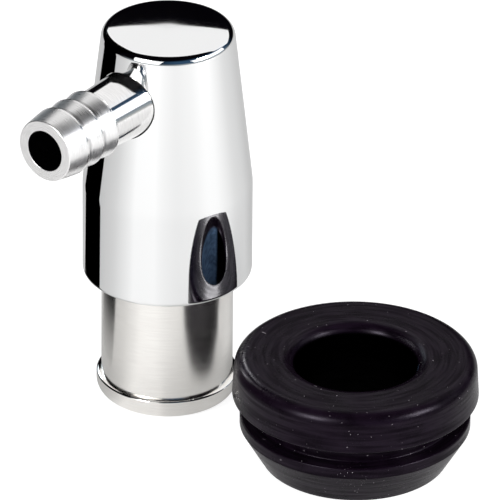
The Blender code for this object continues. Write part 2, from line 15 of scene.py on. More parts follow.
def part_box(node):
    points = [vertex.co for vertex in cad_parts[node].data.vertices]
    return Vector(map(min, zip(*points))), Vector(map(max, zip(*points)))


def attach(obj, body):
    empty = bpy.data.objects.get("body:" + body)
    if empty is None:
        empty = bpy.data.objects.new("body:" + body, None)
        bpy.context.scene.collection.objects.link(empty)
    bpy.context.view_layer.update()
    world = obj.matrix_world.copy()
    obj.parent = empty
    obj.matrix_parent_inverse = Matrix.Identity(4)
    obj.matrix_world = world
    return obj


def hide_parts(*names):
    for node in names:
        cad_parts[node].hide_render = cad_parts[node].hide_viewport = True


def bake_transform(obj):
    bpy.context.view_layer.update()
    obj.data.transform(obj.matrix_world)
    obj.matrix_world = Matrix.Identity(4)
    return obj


MM = 0.001
ORIGIN = (0.0, 0.0, 0.0)
UP = (0.0, 0.0, 1.0)

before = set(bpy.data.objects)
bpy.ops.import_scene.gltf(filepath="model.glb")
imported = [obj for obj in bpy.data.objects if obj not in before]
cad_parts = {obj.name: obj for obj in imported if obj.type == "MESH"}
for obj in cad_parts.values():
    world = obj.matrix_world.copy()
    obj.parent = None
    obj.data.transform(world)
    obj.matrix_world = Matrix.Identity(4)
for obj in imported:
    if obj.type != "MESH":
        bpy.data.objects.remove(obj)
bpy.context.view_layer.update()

# The camera: its angles in degrees, its distance, and how far the valve's foot lies from the view's middle
CAMERA_AZIMUTH = 38.0
CAMERA_ELEVATION = 28.89
CAMERA_ROLL = 0.52
CAMERA_DISTANCE = 1361.0 * MM
CAMERA_LENS = 624.24
SENSOR_WIDTH = 36.0
CAMERA_CLIP_END = 20.0
VALVE_FOOT_RIGHT = -13.05 * MM
VALVE_FOOT_UP = -21.43 * MM

# Sizes that the solids' boxes give
HEAD_LOW, HEAD_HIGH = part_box("valve_head")
SHANK_LOW, SHANK_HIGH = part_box("inlet_shank")
BARB_LOW, BARB_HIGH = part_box("hose_barb")
GROMMET_LOW, GROMMET_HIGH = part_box("grommet")
VALVE_AXIS = Vector(((HEAD_LOW.x + HEAD_HIGH.x) / 2, (HEAD_LOW.y + HEAD_HIGH.y) / 2, 0.0))
GROMMET_AXIS = Vector(((GROMMET_LOW.x + GROMMET_HIGH.x) / 2, (GROMMET_LOW.y + GROMMET_HIGH.y) / 2, 0.0))
HEAD_RADIUS = (HEAD_HIGH.x - HEAD_LOW.x) / 2
HEAD_FOOT = HEAD_LOW.z
HEAD_TOP = HEAD_HIGH.z
COLLAR_RADIUS = (SHANK_HIGH.x - SHANK_LOW.x) / 2
SPIGOT_TOP = SHANK_HIGH.z
BARB_REACH = VALVE_AXIS.y - BARB_LOW.y
BARB_HEIGHT = (BARB_LOW.z + BARB_HIGH.z) / 2
GROMMET_RADIUS = (GROMMET_HIGH.x - GROMMET_LOW.x) / 2
GROMMET_HEIGHT = GROMMET_HIGH.z

# Where the turned meshes stand. The barb is turned upright and then laid across the head, tip outwards.
VALVE_PLACE = Matrix.Translation(VALVE_AXIS)
GROMMET_PLACE = Matrix.Translation(GROMMET_AXIS)
BARB_ON_HEAD = Matrix.Translation((0, 0, BARB_HEIGHT)) @ Matrix.Rotation(math.radians(90), 4, "X")

# Head. Its top is a low crown, which falls with a power of the distance from the middle to a rounded edge.
HEAD_KINK = HEAD_FOOT + 15.7 * MM
HEAD_KINK_BLEND = 0.6 * MM
HEAD_TOP_RADIUS = 10.19 * MM
HEAD_TOP_CROWN = 0.31 * MM
HEAD_TOP_CROWN_POWER = 3
HEAD_TOP_ROUNDING = 1.32 * MM
HEAD_TOP_ROUNDING_HEIGHT = 1.615 * MM
HEAD_FOOT_ROUNDING = 0.8 * MM
REGISTER_RADIUS = 10.58 * MM
REGISTER_DEPTH = 1.0 * MM
HEAD_BORE_RADIUS = 9.2 * MM
HEAD_SHOULDER = SPIGOT_TOP + 2.4 * MM
GALLERY_RADIUS = 5.0 * MM
GALLERY_TOP = HEAD_TOP - 3.8 * MM
DRILL_POINT_SLOPE = 0.6
BARB_HOLE_RADIUS = 4.1 * MM
BARB_POCKET_FLOOR = 7.9 * MM
BARB_POCKET_GAP = 0.1 * MM
POCKET_CUTTER_PAST_HEAD = 1.0 * MM

# Hose barb, measured along its own axis. The turns are the angles at which roundings meet the rings' slopes.
NECK_RADIUS = 5.2 * MM
POCKET_RADIUS = NECK_RADIUS + BARB_POCKET_GAP
BARB_SHOULDER = 9.5 * MM
BARB_SPIGOT_RADIUS = 3.85 * MM
BARB_SPIGOT_BORE_RADIUS = 3.0 * MM
BARB_BORE_RADIUS = 3.25 * MM
BARB_TIP_RADIUS = 4.95 * MM
BARB_EDGE_ROUNDING = 0.2 * MM
BARB_BORE_EDGE = 0.12 * MM
BARB_FIRST_RING = 4.2 * MM
BARB_RING_PITCH = 3.5 * MM
BARB_RING_COUNT = 3
BARB_RING_BULGE = 0.03 * MM
BARB_CREST_ROUNDING = 0.14 * MM
BARB_CREST_RADIUS = 5.5 * MM
BARB_ROOT_RADIUS = 4.8 * MM
BARB_LAST_CREST = BARB_REACH - BARB_FIRST_RING - (BARB_RING_COUNT - 1) * BARB_RING_PITCH
BARB_TIP_TURN = 14
BARB_CREST_TURN = 12

# Shank
SHANK_RADIUS = 10.28 * MM
SHANK_SHOULDER = HEAD_FOOT + 0.7 * MM
SPIGOT_RADIUS = 8.9 * MM
SPIGOT_CHAMFER = 0.5 * MM
SEAL_GROOVE_RADIUS = 7.1 * MM
SEAL_GROOVE_LOW = SHANK_SHOULDER + 1.2 * MM
SEAL_GROOVE_HIGH = SEAL_GROOVE_LOW + 2.1 * MM
COLLAR_HEIGHT = 3.6 * MM
COLLAR_SHOULDER_HEIGHT = 0.36 * MM
COLLAR_RIM_ROUNDING = 2.2 * MM
MOUTH_RADIUS = 7.6 * MM
MOUTH_CHAMFER = 0.4 * MM
CIRCLIP_GROOVE_RADIUS = 8.5 * MM
CIRCLIP_GROOVE_LOW = 2.2 * MM
CIRCLIP_GROOVE_HIGH = 3.8 * MM
SEAT_SHOULDER = 5.9 * MM
SHANK_BORE_RADIUS = 5.9 * MM

# Grommet. The turn is the angle at which the rounding of its base meets the cone.
GROMMET_BORE_RADIUS = 9.525 * MM
GROMMET_TOP_RADIUS = GROMMET_RADIUS - 0.25 * MM
GROMMET_TOP_ROUNDING = 2.06 * MM
GROMMET_LIP_ROUNDING = 2.05 * MM
GROMMET_FLANGE_FOOT = GROMMET_HEIGHT - 6.33 * MM
GROMMET_GROOVE_RADIUS = GROMMET_RADIUS - 3.55 * MM
GROMMET_GROOVE_FOOT = GROMMET_FLANGE_FOOT - 3.47 * MM
GROMMET_FOOT_RADIUS = GROMMET_RADIUS - 1.2 * MM
GROMMET_CONE_TOP = GROMMET_GROOVE_FOOT - 1.7 * MM
GROMMET_BASE_RADIUS = GROMMET_FOOT_RADIUS - 3.2 * MM
GROMMET_BASE_ROUNDING = 0.4 * MM
GROMMET_BASE_TURN = -25
GROMMET_EDGE_ROUNDING = 0.25 * MM

# Plunger spring. At each end lies one dead turn, which rises only a little more than the wire's thickness.
SPRING_FOOT = 8.6 * MM
SPRING_TOP = 30.4 * MM
SPRING_RADIUS = 4.5 * MM
SPRING_WIRE_RADIUS = 0.35 * MM
SPRING_DEAD_RISE = 2.2 * SPRING_WIRE_RADIUS
SPRING_ACTIVE_TURNS = 6
SPRING_STEPS = 48
SPRING_WIRE_SIDES = 12

# Room in the mirrors: a side is azimuth and elevation, and a span is where a soft change starts and ends
ROOM_BLACK = (0.0012, 0.0009, 0.0018)
ROOM_NAVY = (0.03, 0.07, 0.13)
ROOM_HAZE = (0.34, 0.38, 0.4)
ROOM_LIGHT = 0.2
NAVY_SIDE = (60.0, 25.0)
NAVY_SIDE_SPAN = (0.2, 0.85)
NAVY_HEIGHT_SPAN = (0.5, 0.8)
HAZE_SIDE = (20.0, 0.0)
HAZE_SIDE_SPAN = (-0.3, 0.3)
HAZE_HEIGHT_SPAN = (0.0, 0.26)

# Lamps: name, azimuth, elevation, distance in metres, width and height in degrees, radiance and colour
WHITE = (1.0, 1.0, 1.0)
PALE_BLUE = (0.78, 0.9, 1.0)
LAMPS = (
    ("sheet_back", 172.0, 49.3, 0.9, 92.0, 40.0, 0.93, WHITE),
    ("lamp_right", 64.0, 26.0, 0.8, 18.0, 18.0, 18.0, WHITE),
    ("sheet_right", 75.0, 23.0, 0.85, 62.0, 25.0, 1.15, WHITE),
    ("lamp_left", -38.0, 27.0, 0.8, 17.0, 17.0, 20.0, WHITE),
    ("sheet_left", -35.0, 25.0, 0.85, 44.0, 36.0, 1.2, WHITE),
    ("lamp_rear_left", -150.0, 24.0, 0.8, 16.0, 16.0, 2.5, PALE_BLUE),
)
SET_MIDDLE_HEIGHT = 30 * MM

# Floor: how much of its tone is its own light and how much the lamps give, in the mirrors and directly
FLOOR_RADIUS = 8.0
FLOOR_SIDES = 64
FLOOR_GREY = 0.8
FLOOR_ROUGHNESS = 0.9
FLOOR_OWN_MIRRORED = 0.43
FLOOR_LIT_MIRRORED = 0.525
FLOOR_OWN_DIRECT = 0.88
FLOOR_LIT_DIRECT = 0.3
# Its tone in the mirrors by azimuth round the valve: painted light, brightest in front of the two front lamps
FLOOR_TONES = (
    (-180.0, 0.6),
    (-92.0, 0.61),
    (-66.0, 0.73),
    (-46.0, 0.94),
    (-29.0, 1.08),
    (-12.0, 0.97),
    (8.0, 0.88),
    (25.0, 0.89),
    (40.0, 0.93),
    (56.0, 1.0),
    (73.0, 0.96),
    (95.0, 0.8),
    (123.0, 0.7),
    (180.0, 0.6),
)
# The same close to the valve's foot, where painted shade makes it darker at most sides, and where the one
# becomes the other
FOOT_TONES = (
    (-180.0, 0.55),
    (-117.0, 0.57),
    (-85.0, 0.56),
    (-62.0, 0.68),
    (-46.0, 0.98),
    (-27.0, 1.24),
    (-14.0, 1.14),
    (-2.0, 0.86),
    (20.0, 0.75),
    (46.0, 0.73),
    (70.0, 0.63),
    (97.0, 0.48),
    (114.0, 0.45),
    (180.0, 0.55),
)
FOOT_NEAR = 16 * MM
FOOT_FAR = 27 * MM

# The flag's levels: distance from the valve, height, near end and far end. Its foot glows faintly.
FLAG_LEVELS = (
    (20.0 * MM, 0.0, -0.8 * MM, 17.0 * MM),
    (34.0 * MM, 8.0 * MM, -1.9 * MM, 30.9 * MM),
    (34.0 * MM, 60.0 * MM, -5.1 * MM, 17.0 * MM),
    (34.0 * MM, 62.0 * MM, -8.0 * MM, 70.0 * MM),
    (34.0 * MM, 140.0 * MM, -8.0 * MM, 70.0 * MM),
)
FLAG_FOOT_TONE = 0.42
FLAG_FOOT_TOP = 6.4 * MM

# What every finish shares: the span that noise mostly keeps to, and how rough and fine it is
NOISE_SPAN = (0.3, 0.7)
NOISE_ROUGHNESS = 0.6
LINE_DETAIL = 3.0

# Metal: smears, turning marks, and what polish leaves of them
SMEAR_SCALE = 90.0
SMEAR_STRETCH = (1.0, 1.0, 0.35)
SMEAR_DETAIL = 4.0
SMEAR_SHADE = 0.02
MARK_SPACING = 0.12 * MM
MARK_BREAKS = 3.0
MARK_DEPTH = 0.004 * MM
MARK_STRENGTH = 0.25
MARK_ROUGHNESS = 0.1
METAL_DARK = 0.9
METAL_LIGHT = 1.05
METAL_ROUGHNESS_SPAN = (0.35, 0.7)
METAL_ROUGHNESS_SWING = (0.85, 1.2)
POLISHED_ROUGHNESS = (0.05, 0.12)
POLISHED_AWAY = 0.9
ANISOTROPY_TURN = 0.25
# Painted shade, used in the barb's bore and behind the crests of its rings
PAINTED_SHADE_COLOUR = (0.05, 0.045, 0.06)

# Where the polish and the painted shade of the barb and the collar begin and end
NECK_POLISH_BLEND = 0.03 * MM
CREST_POLISH = 0.6
CREST_POLISH_RADII = (BARB_CREST_RADIUS - 0.05 * MM, BARB_CREST_RADIUS - 0.01 * MM)
BORE_SHADE_RADII = (BARB_BORE_RADIUS + 0.02 * MM, BARB_BORE_RADIUS + 0.06 * MM)
# Painted shade on the low part of the ring just behind each crest, where the crest hides it
ROOT_SHADE = 0.35
ROOT_SHADE_LENGTH = 0.8 * MM
ROOT_SHADE_BLEND = 0.3 * MM
ROOT_SHADE_RADII = (BARB_CREST_RADIUS - 0.5 * MM, BARB_CREST_RADIUS - 0.3 * MM)
COLLAR_POLISH_RADII = (SHANK_RADIUS, SHANK_RADIUS + 0.02 * MM)
COLLAR_POLISH_BLEND = 0.06 * MM

# Rubber: moulding lines, a cloudy tone and sheen
RUBBER_LINE_SPACING = 0.42 * MM
RUBBER_LINE_BREAKS = 2.5
RUBBER_LINE_DEPTH = 0.035 * MM
RUBBER_LINE_STRENGTH = 0.3
RUBBER_DARK = 0.5
RUBBER_LIGHT = 1.6
RUBBER_ROUGHNESS_SWING = (0.9, 1.15)
RUBBER_SPECULAR = 0.1
RUBBER_SHEEN_SWING = (0.55, 1.45)
RUBBER_TINT = (0.92, 0.83, 1.0)
CLOUD_SCALE = 260.0
CLOUD_DETAIL = 3.0
CLOUD_SHARE = 0.4

# The grommet's bore: dull, with painted bluish light in streaks on its near half, which the camera sees only
# in the metal
BORE_RIM_RADII = (GROMMET_BORE_RADIUS + 0.05 * MM, GROMMET_BORE_RADIUS + 0.3 * MM)
BORE_DULLNESS = 0.9
BORE_PAINTED_LIGHT_COLOUR = (0.12, 0.2, 0.34)
PAINTED_LIGHT_SIDE = (15.0, 0.0)
PAINTED_LIGHT_SIDE_SPAN = (0.22, 0.6)
PAINTED_LIGHT_STREAKS = (0.5, 1.0)

# Dust. A kind of speck is its cells in a metre, its size in a cell, and the share of cells that hold one.
DUST_COLOUR = (0.42, 0.38, 0.42)
DUST_ROUGHNESS = 0.9
DUST_RADII = (GROMMET_BORE_RADIUS + 0.3 * MM, GROMMET_BORE_RADIUS + 0.8 * MM)
DUST_SHADE_SCALE = 900.0
DUST_SHADE_SPAN = (0.35, 0.65)
DUST_SHADE_SWING = (0.25, 0.8)
FINE_SPECKS = (1050.0, 0.075, 0.6)
FIBRES = (190.0, 0.075, 0.3)
PATCH_SPECKS = (2600.0, 0.16, 0.5)
SPECK_LEAST = 0.5
SPECK_SPREAD = 0.8
FIBRE_STRETCH = (1.0, 6.0, 6.0)
FIBRE_BEND = 1.1 * MM
FIBRE_BEND_SCALE = 420.0
PATCH_SIDE = (-2.0, 0.0)
PATCH_RADIUS = 17.6 * MM
PATCH_HEIGHT = 5.6 * MM
PATCH_SPAN = (1.2 * MM, 3.2 * MM)

# Colours of the pieces
POLISHED_ALUMINIUM = (0.955, 0.96, 0.96)
TURNED_ALUMINIUM = (0.945, 0.935, 0.93)
WARM_ALUMINIUM = (0.965, 0.935, 0.9)
BRASS = (0.8, 0.6, 0.3)
STEEL = (0.62, 0.62, 0.63)
DRAWN_STEEL = (0.5, 0.5, 0.51)
GROMMET_BLACK = (0.0046, 0.0022, 0.0054)
SEAL_BLACK = (0.012, 0.012, 0.013)

# How finely the turned forms are divided, and how near two places count as one
FINE_SIDES = 256
BARB_SIDES = 192
POCKET_SIDES = 96
ARC_STEP = 6.0
CROWN_STEPS = 14
CROWN_FIT_ROUNDS = 6
NECK_PIECES = 8
RING_STEPS = 10
DENSE_PIECE = 0.8 * MM
MERGE = 1e-7

# The pocket's faces in the cut head: how far past its wall they may lie, and how squarely its floor faces out
POCKET_MARGIN = 0.02 * MM
POCKET_FLOOR_FACING = 0.9


class Profile:
    """Half a section in the plane of radius and height, with the surface's true normal at every point.

    It runs down the outer side and back up the bore, so its outward side is on the left of its direction.
    """

    def __init__(self, radius, height):
        self.here = Vector((radius, height))
        self.runs = []

    def line(self, radius, height, pieces=1):
        there = Vector((radius, height))
        if (there - self.here).length < MERGE:
            return
        along = (there - self.here).normalized()
        normal = Vector((-along.y, along.x))
        start = self.here
        for piece in range(1, pieces + 1):
            point = start.lerp(there, piece / pieces)
            self.runs.append((self.here, point, normal, normal))
            self.here = point

    def arc(self, centre_r, centre_z, start, end, radius, radius_z=None):
        """A round stretch. Angles run from outwards towards up. A falling angle is a bulge outwards."""
        height = radius if radius_z is None else radius_z
        count = max(2, math.ceil(abs(end - start) / ARC_STEP))
        bulge = 1 if end < start else -1
        previous = None
        for step in range(count + 1):
            angle = math.radians(start + (end - start) * step / count)
            point = Vector((centre_r + radius * math.cos(angle), centre_z + height * math.sin(angle)))
            normal = bulge * Vector((math.cos(angle) * height, math.sin(angle) * radius)).normalized()
            if previous:
                self.runs.append((previous[0], point, previous[1], normal))
            else:
                self.line(*point)
            previous = (point, normal)
        self.here = previous[0]

    def close(self):
        self.line(*self.runs[0][0])
        return self


def dense(profile):
    """The same profile with its long straight stretches divided, so that a cut leaves small faces."""
    finer = Profile(*profile.runs[0][0])
    for start, end, start_normal, end_normal in profile.runs:
        pieces = max(1, round((end - start).length / DENSE_PIECE))
        for piece in range(pieces):
            low, high = piece / pieces, (piece + 1) / pieces
            finer.runs.append(
                (
                    start.lerp(end, low),
                    start.lerp(end, high),
                    start_normal.lerp(end_normal, low),
                    start_normal.lerp(end_normal, high),
                )
            )
    return finer


def turned_mesh(name, profile, sides=FINE_SIDES):
    """A solid of revolution about Z whose corner normals are the profile's own."""
    shape = bmesh.new()
    rings = {}
    angles = [2 * math.pi * side / sides for side in range(sides)]
    turns = [(math.cos(angle), math.sin(angle)) for angle in angles]

    def ring(point):
        key = (round(point.x / MERGE), round(point.y / MERGE))
        if key not in rings:
            count = 1 if point.x < MERGE else sides
            rings[key] = [shape.verts.new((point.x * c, point.x * s, point.y)) for c, s in turns[:count]]
        return rings[key]

    normals = []
    for start, end, start_normal, end_normal in profile.runs:
        upper, lower = ring(start), ring(end)
        for side in range(sides):
            after = (side + 1) % sides
            corners = [(lower, side, end_normal), (lower, after, end_normal)]
            corners += [(upper, after, start_normal), (upper, side, start_normal)]
            if len(upper) == 1:
                corners.pop(2)
            if len(lower) == 1:
                corners.pop(1)
            shape.faces.new([where[index % len(where)] for where, index, _ in corners])
            for where, index, normal in corners:
                c, s = turns[index if len(where) > 1 else side]
                normals.append((normal.x * c, normal.x * s, normal.y))
    mesh = bpy.data.meshes.new(name)
    shape.to_mesh(mesh)
    shape.free()
    mesh.shade_smooth()
    mesh.normals_split_custom_set(normals)
    return mesh


def add_piece(name, mesh, place, body, node, material):
    """Puts a mesh in the place of a solid."""
    piece = bpy.data.objects.new(name, mesh)
    bpy.context.scene.collection.objects.link(piece)
    piece.matrix_world = place
    mesh.materials.clear()
    mesh.materials.append(material)
    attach(piece, body)
    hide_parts(node)


def head_outline():
    """The head's outer side alone, from the middle of its crowned top down to its foot."""
    tilt = math.atan2(HEAD_RADIUS - HEAD_TOP_RADIUS, HEAD_TOP - HEAD_KINK)
    blend_radius = HEAD_KINK_BLEND / math.tan(tilt / 2)

    def turn_of(slope):
        """Where on the rounding's ellipse the surface falls away at this slope."""
        return math.atan2(HEAD_TOP_ROUNDING_HEIGHT * math.cos(slope), HEAD_TOP_ROUNDING * math.sin(slope))

    last = turn_of(math.pi / 2 - tilt)
    drop = HEAD_TOP_CROWN + HEAD_TOP_ROUNDING_HEIGHT * (1 - math.sin(last))
    reach = HEAD_TOP_RADIUS + drop * math.tan(tilt) - HEAD_TOP_ROUNDING * math.cos(last)
    rim = reach
    for _ in range(CROWN_FIT_ROUNDS):
        first = turn_of(math.atan2(HEAD_TOP_CROWN_POWER * HEAD_TOP_CROWN, rim))
        centre_drop = HEAD_TOP_CROWN + HEAD_TOP_ROUNDING_HEIGHT * math.sin(first)
        drop = centre_drop - HEAD_TOP_ROUNDING_HEIGHT * math.sin(last)
        reach = HEAD_TOP_RADIUS + drop * math.tan(tilt) - HEAD_TOP_ROUNDING * math.cos(last)
        rim = reach + HEAD_TOP_ROUNDING * math.cos(first)

    profile = Profile(0.0, HEAD_TOP)
    for step in range(1, CROWN_STEPS + 1):
        share = step / CROWN_STEPS
        slope = HEAD_TOP_CROWN_POWER * HEAD_TOP_CROWN * share ** (HEAD_TOP_CROWN_POWER - 1) / rim
        before = profile.runs[-1][3] if profile.runs else Vector((0.0, 1.0))
        point = Vector((rim * share, HEAD_TOP - HEAD_TOP_CROWN * share ** HEAD_TOP_CROWN_POWER))
        normal = Vector((slope, 1.0)).normalized()
        profile.runs.append((profile.here, point, before, normal))
        profile.here = point
    profile.arc(
        reach,
        HEAD_TOP - centre_drop,
        math.degrees(first),
        math.degrees(last),
        HEAD_TOP_ROUNDING,
        HEAD_TOP_ROUNDING_HEIGHT,
    )
    profile.arc(HEAD_RADIUS - blend_radius, HEAD_KINK - HEAD_KINK_BLEND, math.degrees(tilt), 0, blend_radius)
    return profile


def head_profile():
    profile = head_outline()
    foot = HEAD_FOOT + HEAD_FOOT_ROUNDING
    profile.arc(HEAD_RADIUS - HEAD_FOOT_ROUNDING, foot, 0, -90, HEAD_FOOT_ROUNDING)
    profile.line(REGISTER_RADIUS, HEAD_FOOT)
    profile.line(REGISTER_RADIUS, HEAD_FOOT + REGISTER_DEPTH)
    profile.line(HEAD_BORE_RADIUS, HEAD_FOOT + REGISTER_DEPTH)
    profile.line(HEAD_BORE_RADIUS, HEAD_SHOULDER)
    profile.line(GALLERY_RADIUS, HEAD_SHOULDER)
    profile.line(GALLERY_RADIUS, GALLERY_TOP - DRILL_POINT_SLOPE * GALLERY_RADIUS)
    profile.line(0.0, GALLERY_TOP)
    return profile


def pocket_profile():
    """What is cut from the head: the pocket of the barb's neck and the hole of its spigot."""
    outer_end = HEAD_RADIUS + POCKET_CUTTER_PAST_HEAD
    profile = Profile(0.0, outer_end)
    profile.line(POCKET_RADIUS, outer_end)
    profile.line(POCKET_RADIUS, BARB_POCKET_FLOOR)
    profile.line(BARB_HOLE_RADIUS, BARB_POCKET_FLOOR)
    profile.line(BARB_HOLE_RADIUS, 0.0)
    profile.line(0.0, 0.0)
    return profile


def shank_profile():
    profile = Profile(SPIGOT_RADIUS - SPIGOT_CHAMFER, SPIGOT_TOP)
    profile.line(SPIGOT_RADIUS, SPIGOT_TOP - SPIGOT_CHAMFER)
    profile.line(SPIGOT_RADIUS, SEAL_GROOVE_HIGH)
    profile.line(SEAL_GROOVE_RADIUS, SEAL_GROOVE_HIGH)
    profile.line(SEAL_GROOVE_RADIUS, SEAL_GROOVE_LOW)
    profile.line(SPIGOT_RADIUS, SEAL_GROOVE_LOW)
    profile.line(SPIGOT_RADIUS, SHANK_SHOULDER)
    profile.line(SHANK_RADIUS, SHANK_SHOULDER)
    profile.line(SHANK_RADIUS, COLLAR_HEIGHT)
    profile.arc(
        SHANK_RADIUS,
        COLLAR_HEIGHT - COLLAR_SHOULDER_HEIGHT,
        90,
        0,
        COLLAR_RADIUS - SHANK_RADIUS,
        COLLAR_SHOULDER_HEIGHT,
    )
    profile.arc(COLLAR_RADIUS - COLLAR_RIM_ROUNDING, COLLAR_RIM_ROUNDING, 0, -90, COLLAR_RIM_ROUNDING)
    profile.line(MOUTH_RADIUS + MOUTH_CHAMFER, 0.0)
    profile.line(MOUTH_RADIUS, MOUTH_CHAMFER)
    profile.line(MOUTH_RADIUS, CIRCLIP_GROOVE_LOW)
    profile.line(CIRCLIP_GROOVE_RADIUS, CIRCLIP_GROOVE_LOW)
    profile.line(CIRCLIP_GROOVE_RADIUS, CIRCLIP_GROOVE_HIGH)
    profile.line(MOUTH_RADIUS, CIRCLIP_GROOVE_HIGH)
    profile.line(MOUTH_RADIUS, SEAT_SHOULDER)
    profile.line(SHANK_BORE_RADIUS, SEAT_SHOULDER)
    profile.line(SHANK_BORE_RADIUS, SPIGOT_TOP)
    return profile.close()


def ring_slope(profile, root_radius, root, crest):
    """One barbed ring from its root to its crest, bulging a little outwards."""
    rise = BARB_CREST_RADIUS - root_radius
    length = crest - root

    def at(share):
        radius = root_radius + rise * share + 4 * BARB_RING_BULGE * share * (1 - share)
        slope = (rise + 4 * BARB_RING_BULGE * (1 - 2 * share)) / length
        return Vector((radius, root + length * share)), Vector((1.0, -slope)).normalized()

    profile.line(*at(0)[0])
    for step in range(RING_STEPS):
        start, start_normal = at(step / RING_STEPS)
        end, end_normal = at((step + 1) / RING_STEPS)
        profile.runs.append((start, end, start_normal, end_normal))
        profile.here = end


def barb_profile():
    """Along the barb's own axis, tip uppermost."""
    edge = BARB_EDGE_ROUNDING
    profile = Profile(BARB_BORE_RADIUS + BARB_BORE_EDGE, BARB_REACH)
    profile.arc(BARB_TIP_RADIUS - edge, BARB_REACH - edge, 90, BARB_TIP_TURN, edge)
    root_radius = BARB_TIP_RADIUS
    root = BARB_REACH - edge
    for ring in range(BARB_RING_COUNT):
        crest = BARB_REACH - BARB_FIRST_RING - ring * BARB_RING_PITCH
        rounding = BARB_CREST_ROUNDING
        ring_slope(profile, root_radius, root, crest + rounding)
        profile.arc(BARB_CREST_RADIUS - rounding, crest + rounding, BARB_CREST_TURN, -90, rounding)
        root_radius, root = BARB_ROOT_RADIUS, crest
        profile.line(root_radius, root)
    profile.line(NECK_RADIUS, BARB_SHOULDER, NECK_PIECES)
    profile.line(BARB_SPIGOT_RADIUS, BARB_SHOULDER)
    profile.line(BARB_SPIGOT_RADIUS, GALLERY_RADIUS)
    profile.line(BARB_SPIGOT_BORE_RADIUS, GALLERY_RADIUS)
    profile.line(BARB_SPIGOT_BORE_RADIUS, BARB_SHOULDER)
    profile.line(BARB_BORE_RADIUS, BARB_SHOULDER + BARB_BORE_RADIUS - BARB_SPIGOT_BORE_RADIUS)
    profile.arc(BARB_BORE_RADIUS + BARB_BORE_EDGE, BARB_REACH - BARB_BORE_EDGE, 180, 90, BARB_BORE_EDGE)
    return profile


def grommet_profile():
    edge = GROMMET_EDGE_ROUNDING
    lip = GROMMET_LIP_ROUNDING
    top = GROMMET_TOP_ROUNDING
    profile = Profile(GROMMET_BORE_RADIUS, GROMMET_HEIGHT - lip)
    profile.arc(GROMMET_BORE_RADIUS + lip, GROMMET_HEIGHT - lip, 180, 90, lip)
    profile.arc(GROMMET_TOP_RADIUS - top, GROMMET_HEIGHT - top, 90, 0, top)
    profile.arc(GROMMET_RADIUS - edge, GROMMET_FLANGE_FOOT + edge, 0, -90, edge)
    profile.arc(GROMMET_GROOVE_RADIUS + edge, GROMMET_FLANGE_FOOT - edge, 90, 180, edge)
    profile.arc(GROMMET_GROOVE_RADIUS + edge, GROMMET_GROOVE_FOOT + edge, 180, 270, edge)
    profile.arc(GROMMET_FOOT_RADIUS - edge, GROMMET_GROOVE_FOOT - edge, 90, 0, edge)
    profile.line(GROMMET_FOOT_RADIUS, GROMMET_CONE_TOP)
    base = GROMMET_BASE_ROUNDING
    profile.arc(GROMMET_BASE_RADIUS - base, base, GROMMET_BASE_TURN, -90, base)
    profile.line(GROMMET_BORE_RADIUS, 0.0)
    return profile.close()


def add_node(tree, kind, inputs=(), **settings):
    """A shader node. An input whose value is another node's socket is linked to it."""
    made = tree.nodes.new(kind)
    for name, value in settings.items():
        setattr(made, name, value)
    for key, value in dict(inputs).items():
        if isinstance(value, bpy.types.NodeSocket):
            tree.links.new(value, made.inputs[key])
        else:
            made.inputs[key].default_value = value
    return made


def maths(tree, operation, *values, clamp=False):
    made = add_node(tree, "ShaderNodeMath", enumerate(values), operation=operation, use_clamp=clamp)
    return made.outputs[0]


def vectors(tree, operation, *values):
    made = add_node(tree, "ShaderNodeVectorMath", enumerate(values), operation=operation)
    return made.outputs["Value" if operation in ("DOT_PRODUCT", "LENGTH", "DISTANCE") else "Vector"]


def ramp(tree, value, start, end, low=0.0, high=1.0):
    """A smooth change from low at start to high at end."""
    inputs = {"Value": value, "From Min": start, "From Max": end, "To Min": low, "To Max": high}
    return add_node(tree, "ShaderNodeMapRange", inputs, interpolation_type="SMOOTHSTEP").outputs["Result"]


def swing(tree, level, low, high):
    """A noise's level, stretched to run from low to high."""
    return ramp(tree, level, *NOISE_SPAN, low, high)


def mix_colour(tree, share, first, second):
    """A mix of colours, by the numbers that the node's colour sockets have."""
    return add_node(tree, "ShaderNodeMix", {0: share, 6: first, 7: second}, data_type="RGBA").outputs[2]


def mix_level(tree, share, first, second):
    """A mix of levels, by the numbers that the same node's level sockets have."""
    return add_node(tree, "ShaderNodeMix", {0: share, 2: first, 3: second}).outputs[0]


def noise(tree, vector, scale, detail=2.0, roughness=0.5):
    inputs = {"Vector": vector, "Scale": scale, "Detail": detail, "Roughness": roughness}
    return add_node(tree, "ShaderNodeTexNoise", inputs).outputs[0]


def noise_colour(tree, vector, scale):
    """Three smooth noises at once, as a colour's channels."""
    return add_node(tree, "ShaderNodeTexNoise", {"Vector": vector, "Scale": scale, "Detail": 1.0}).outputs[1]


def grey(level):
    return (level, level, level, 1.0)


def opaque(colour):
    return (*colour, 1.0)


def tinted(colour, factor):
    """A colour made darker or lighter, up to white."""
    return opaque([min(1.0, channel * factor) for channel in colour])


def studio_material(name):
    material = bpy.data.materials.new(name)
    material.use_nodes = True
    return material, material.node_tree, material.node_tree.nodes["Principled BSDF"]


